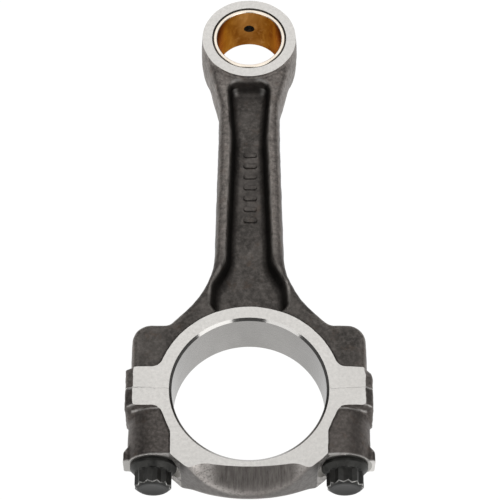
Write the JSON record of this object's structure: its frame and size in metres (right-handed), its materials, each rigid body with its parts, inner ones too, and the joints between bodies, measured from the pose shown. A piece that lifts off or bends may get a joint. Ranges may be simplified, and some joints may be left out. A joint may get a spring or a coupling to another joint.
{
  "type": "connecting rod",
  "caption": "Forged I-beam connecting rod with a fracture-split big-end cap, twelve-point flange cap bolts and a bronze small-end bush.",
  "frame": {"origin": "centre of the crankpin bore, at mid-width", "axes": "+Z along the crankpin axis, +Y from the crankpin towards the small end, +X across the cap bolts; the rod lies flat on its -Z faces"},
  "size_m": [0.0774, 0.183, 0.019],
  "materials": {
    "forged_steel": "dark shot-blasted forging skin, with ground faces and bored ends",
    "cap_steel": "dark forging skin, with ground faces, a bored housing and ground relief flats",
    "bronze": "bored bronze, slightly stained",
    "black_oxide_bolt": "black oxide on high-tensile steel"
  },
  "bodies": {
    "rod": {"rod_body": "forged_steel", "small_end_bush": "bronze"},
    "cap": {"big_end_cap": "cap_steel"},
    "bolt_left": {"cap_bolt_left": "black_oxide_bolt"},
    "bolt_right": {"cap_bolt_right": "black_oxide_bolt"}
  },
  "joints": [
    {"name": "cap_removal", "type": "slide", "parent": "rod", "child": "cap", "axis": [0, -1, 0], "range_m": [0, 0.06]},
    {"name": "bolt_left_removal", "type": "slide", "parent": "cap", "child": "bolt_left", "axis": [0, -1, 0], "range_m": [0, 0.045]},
    {"name": "bolt_right_removal", "type": "slide", "parent": "cap", "child": "bolt_right", "axis": [0, -1, 0], "range_m": [0, 0.045]}
  ]
}
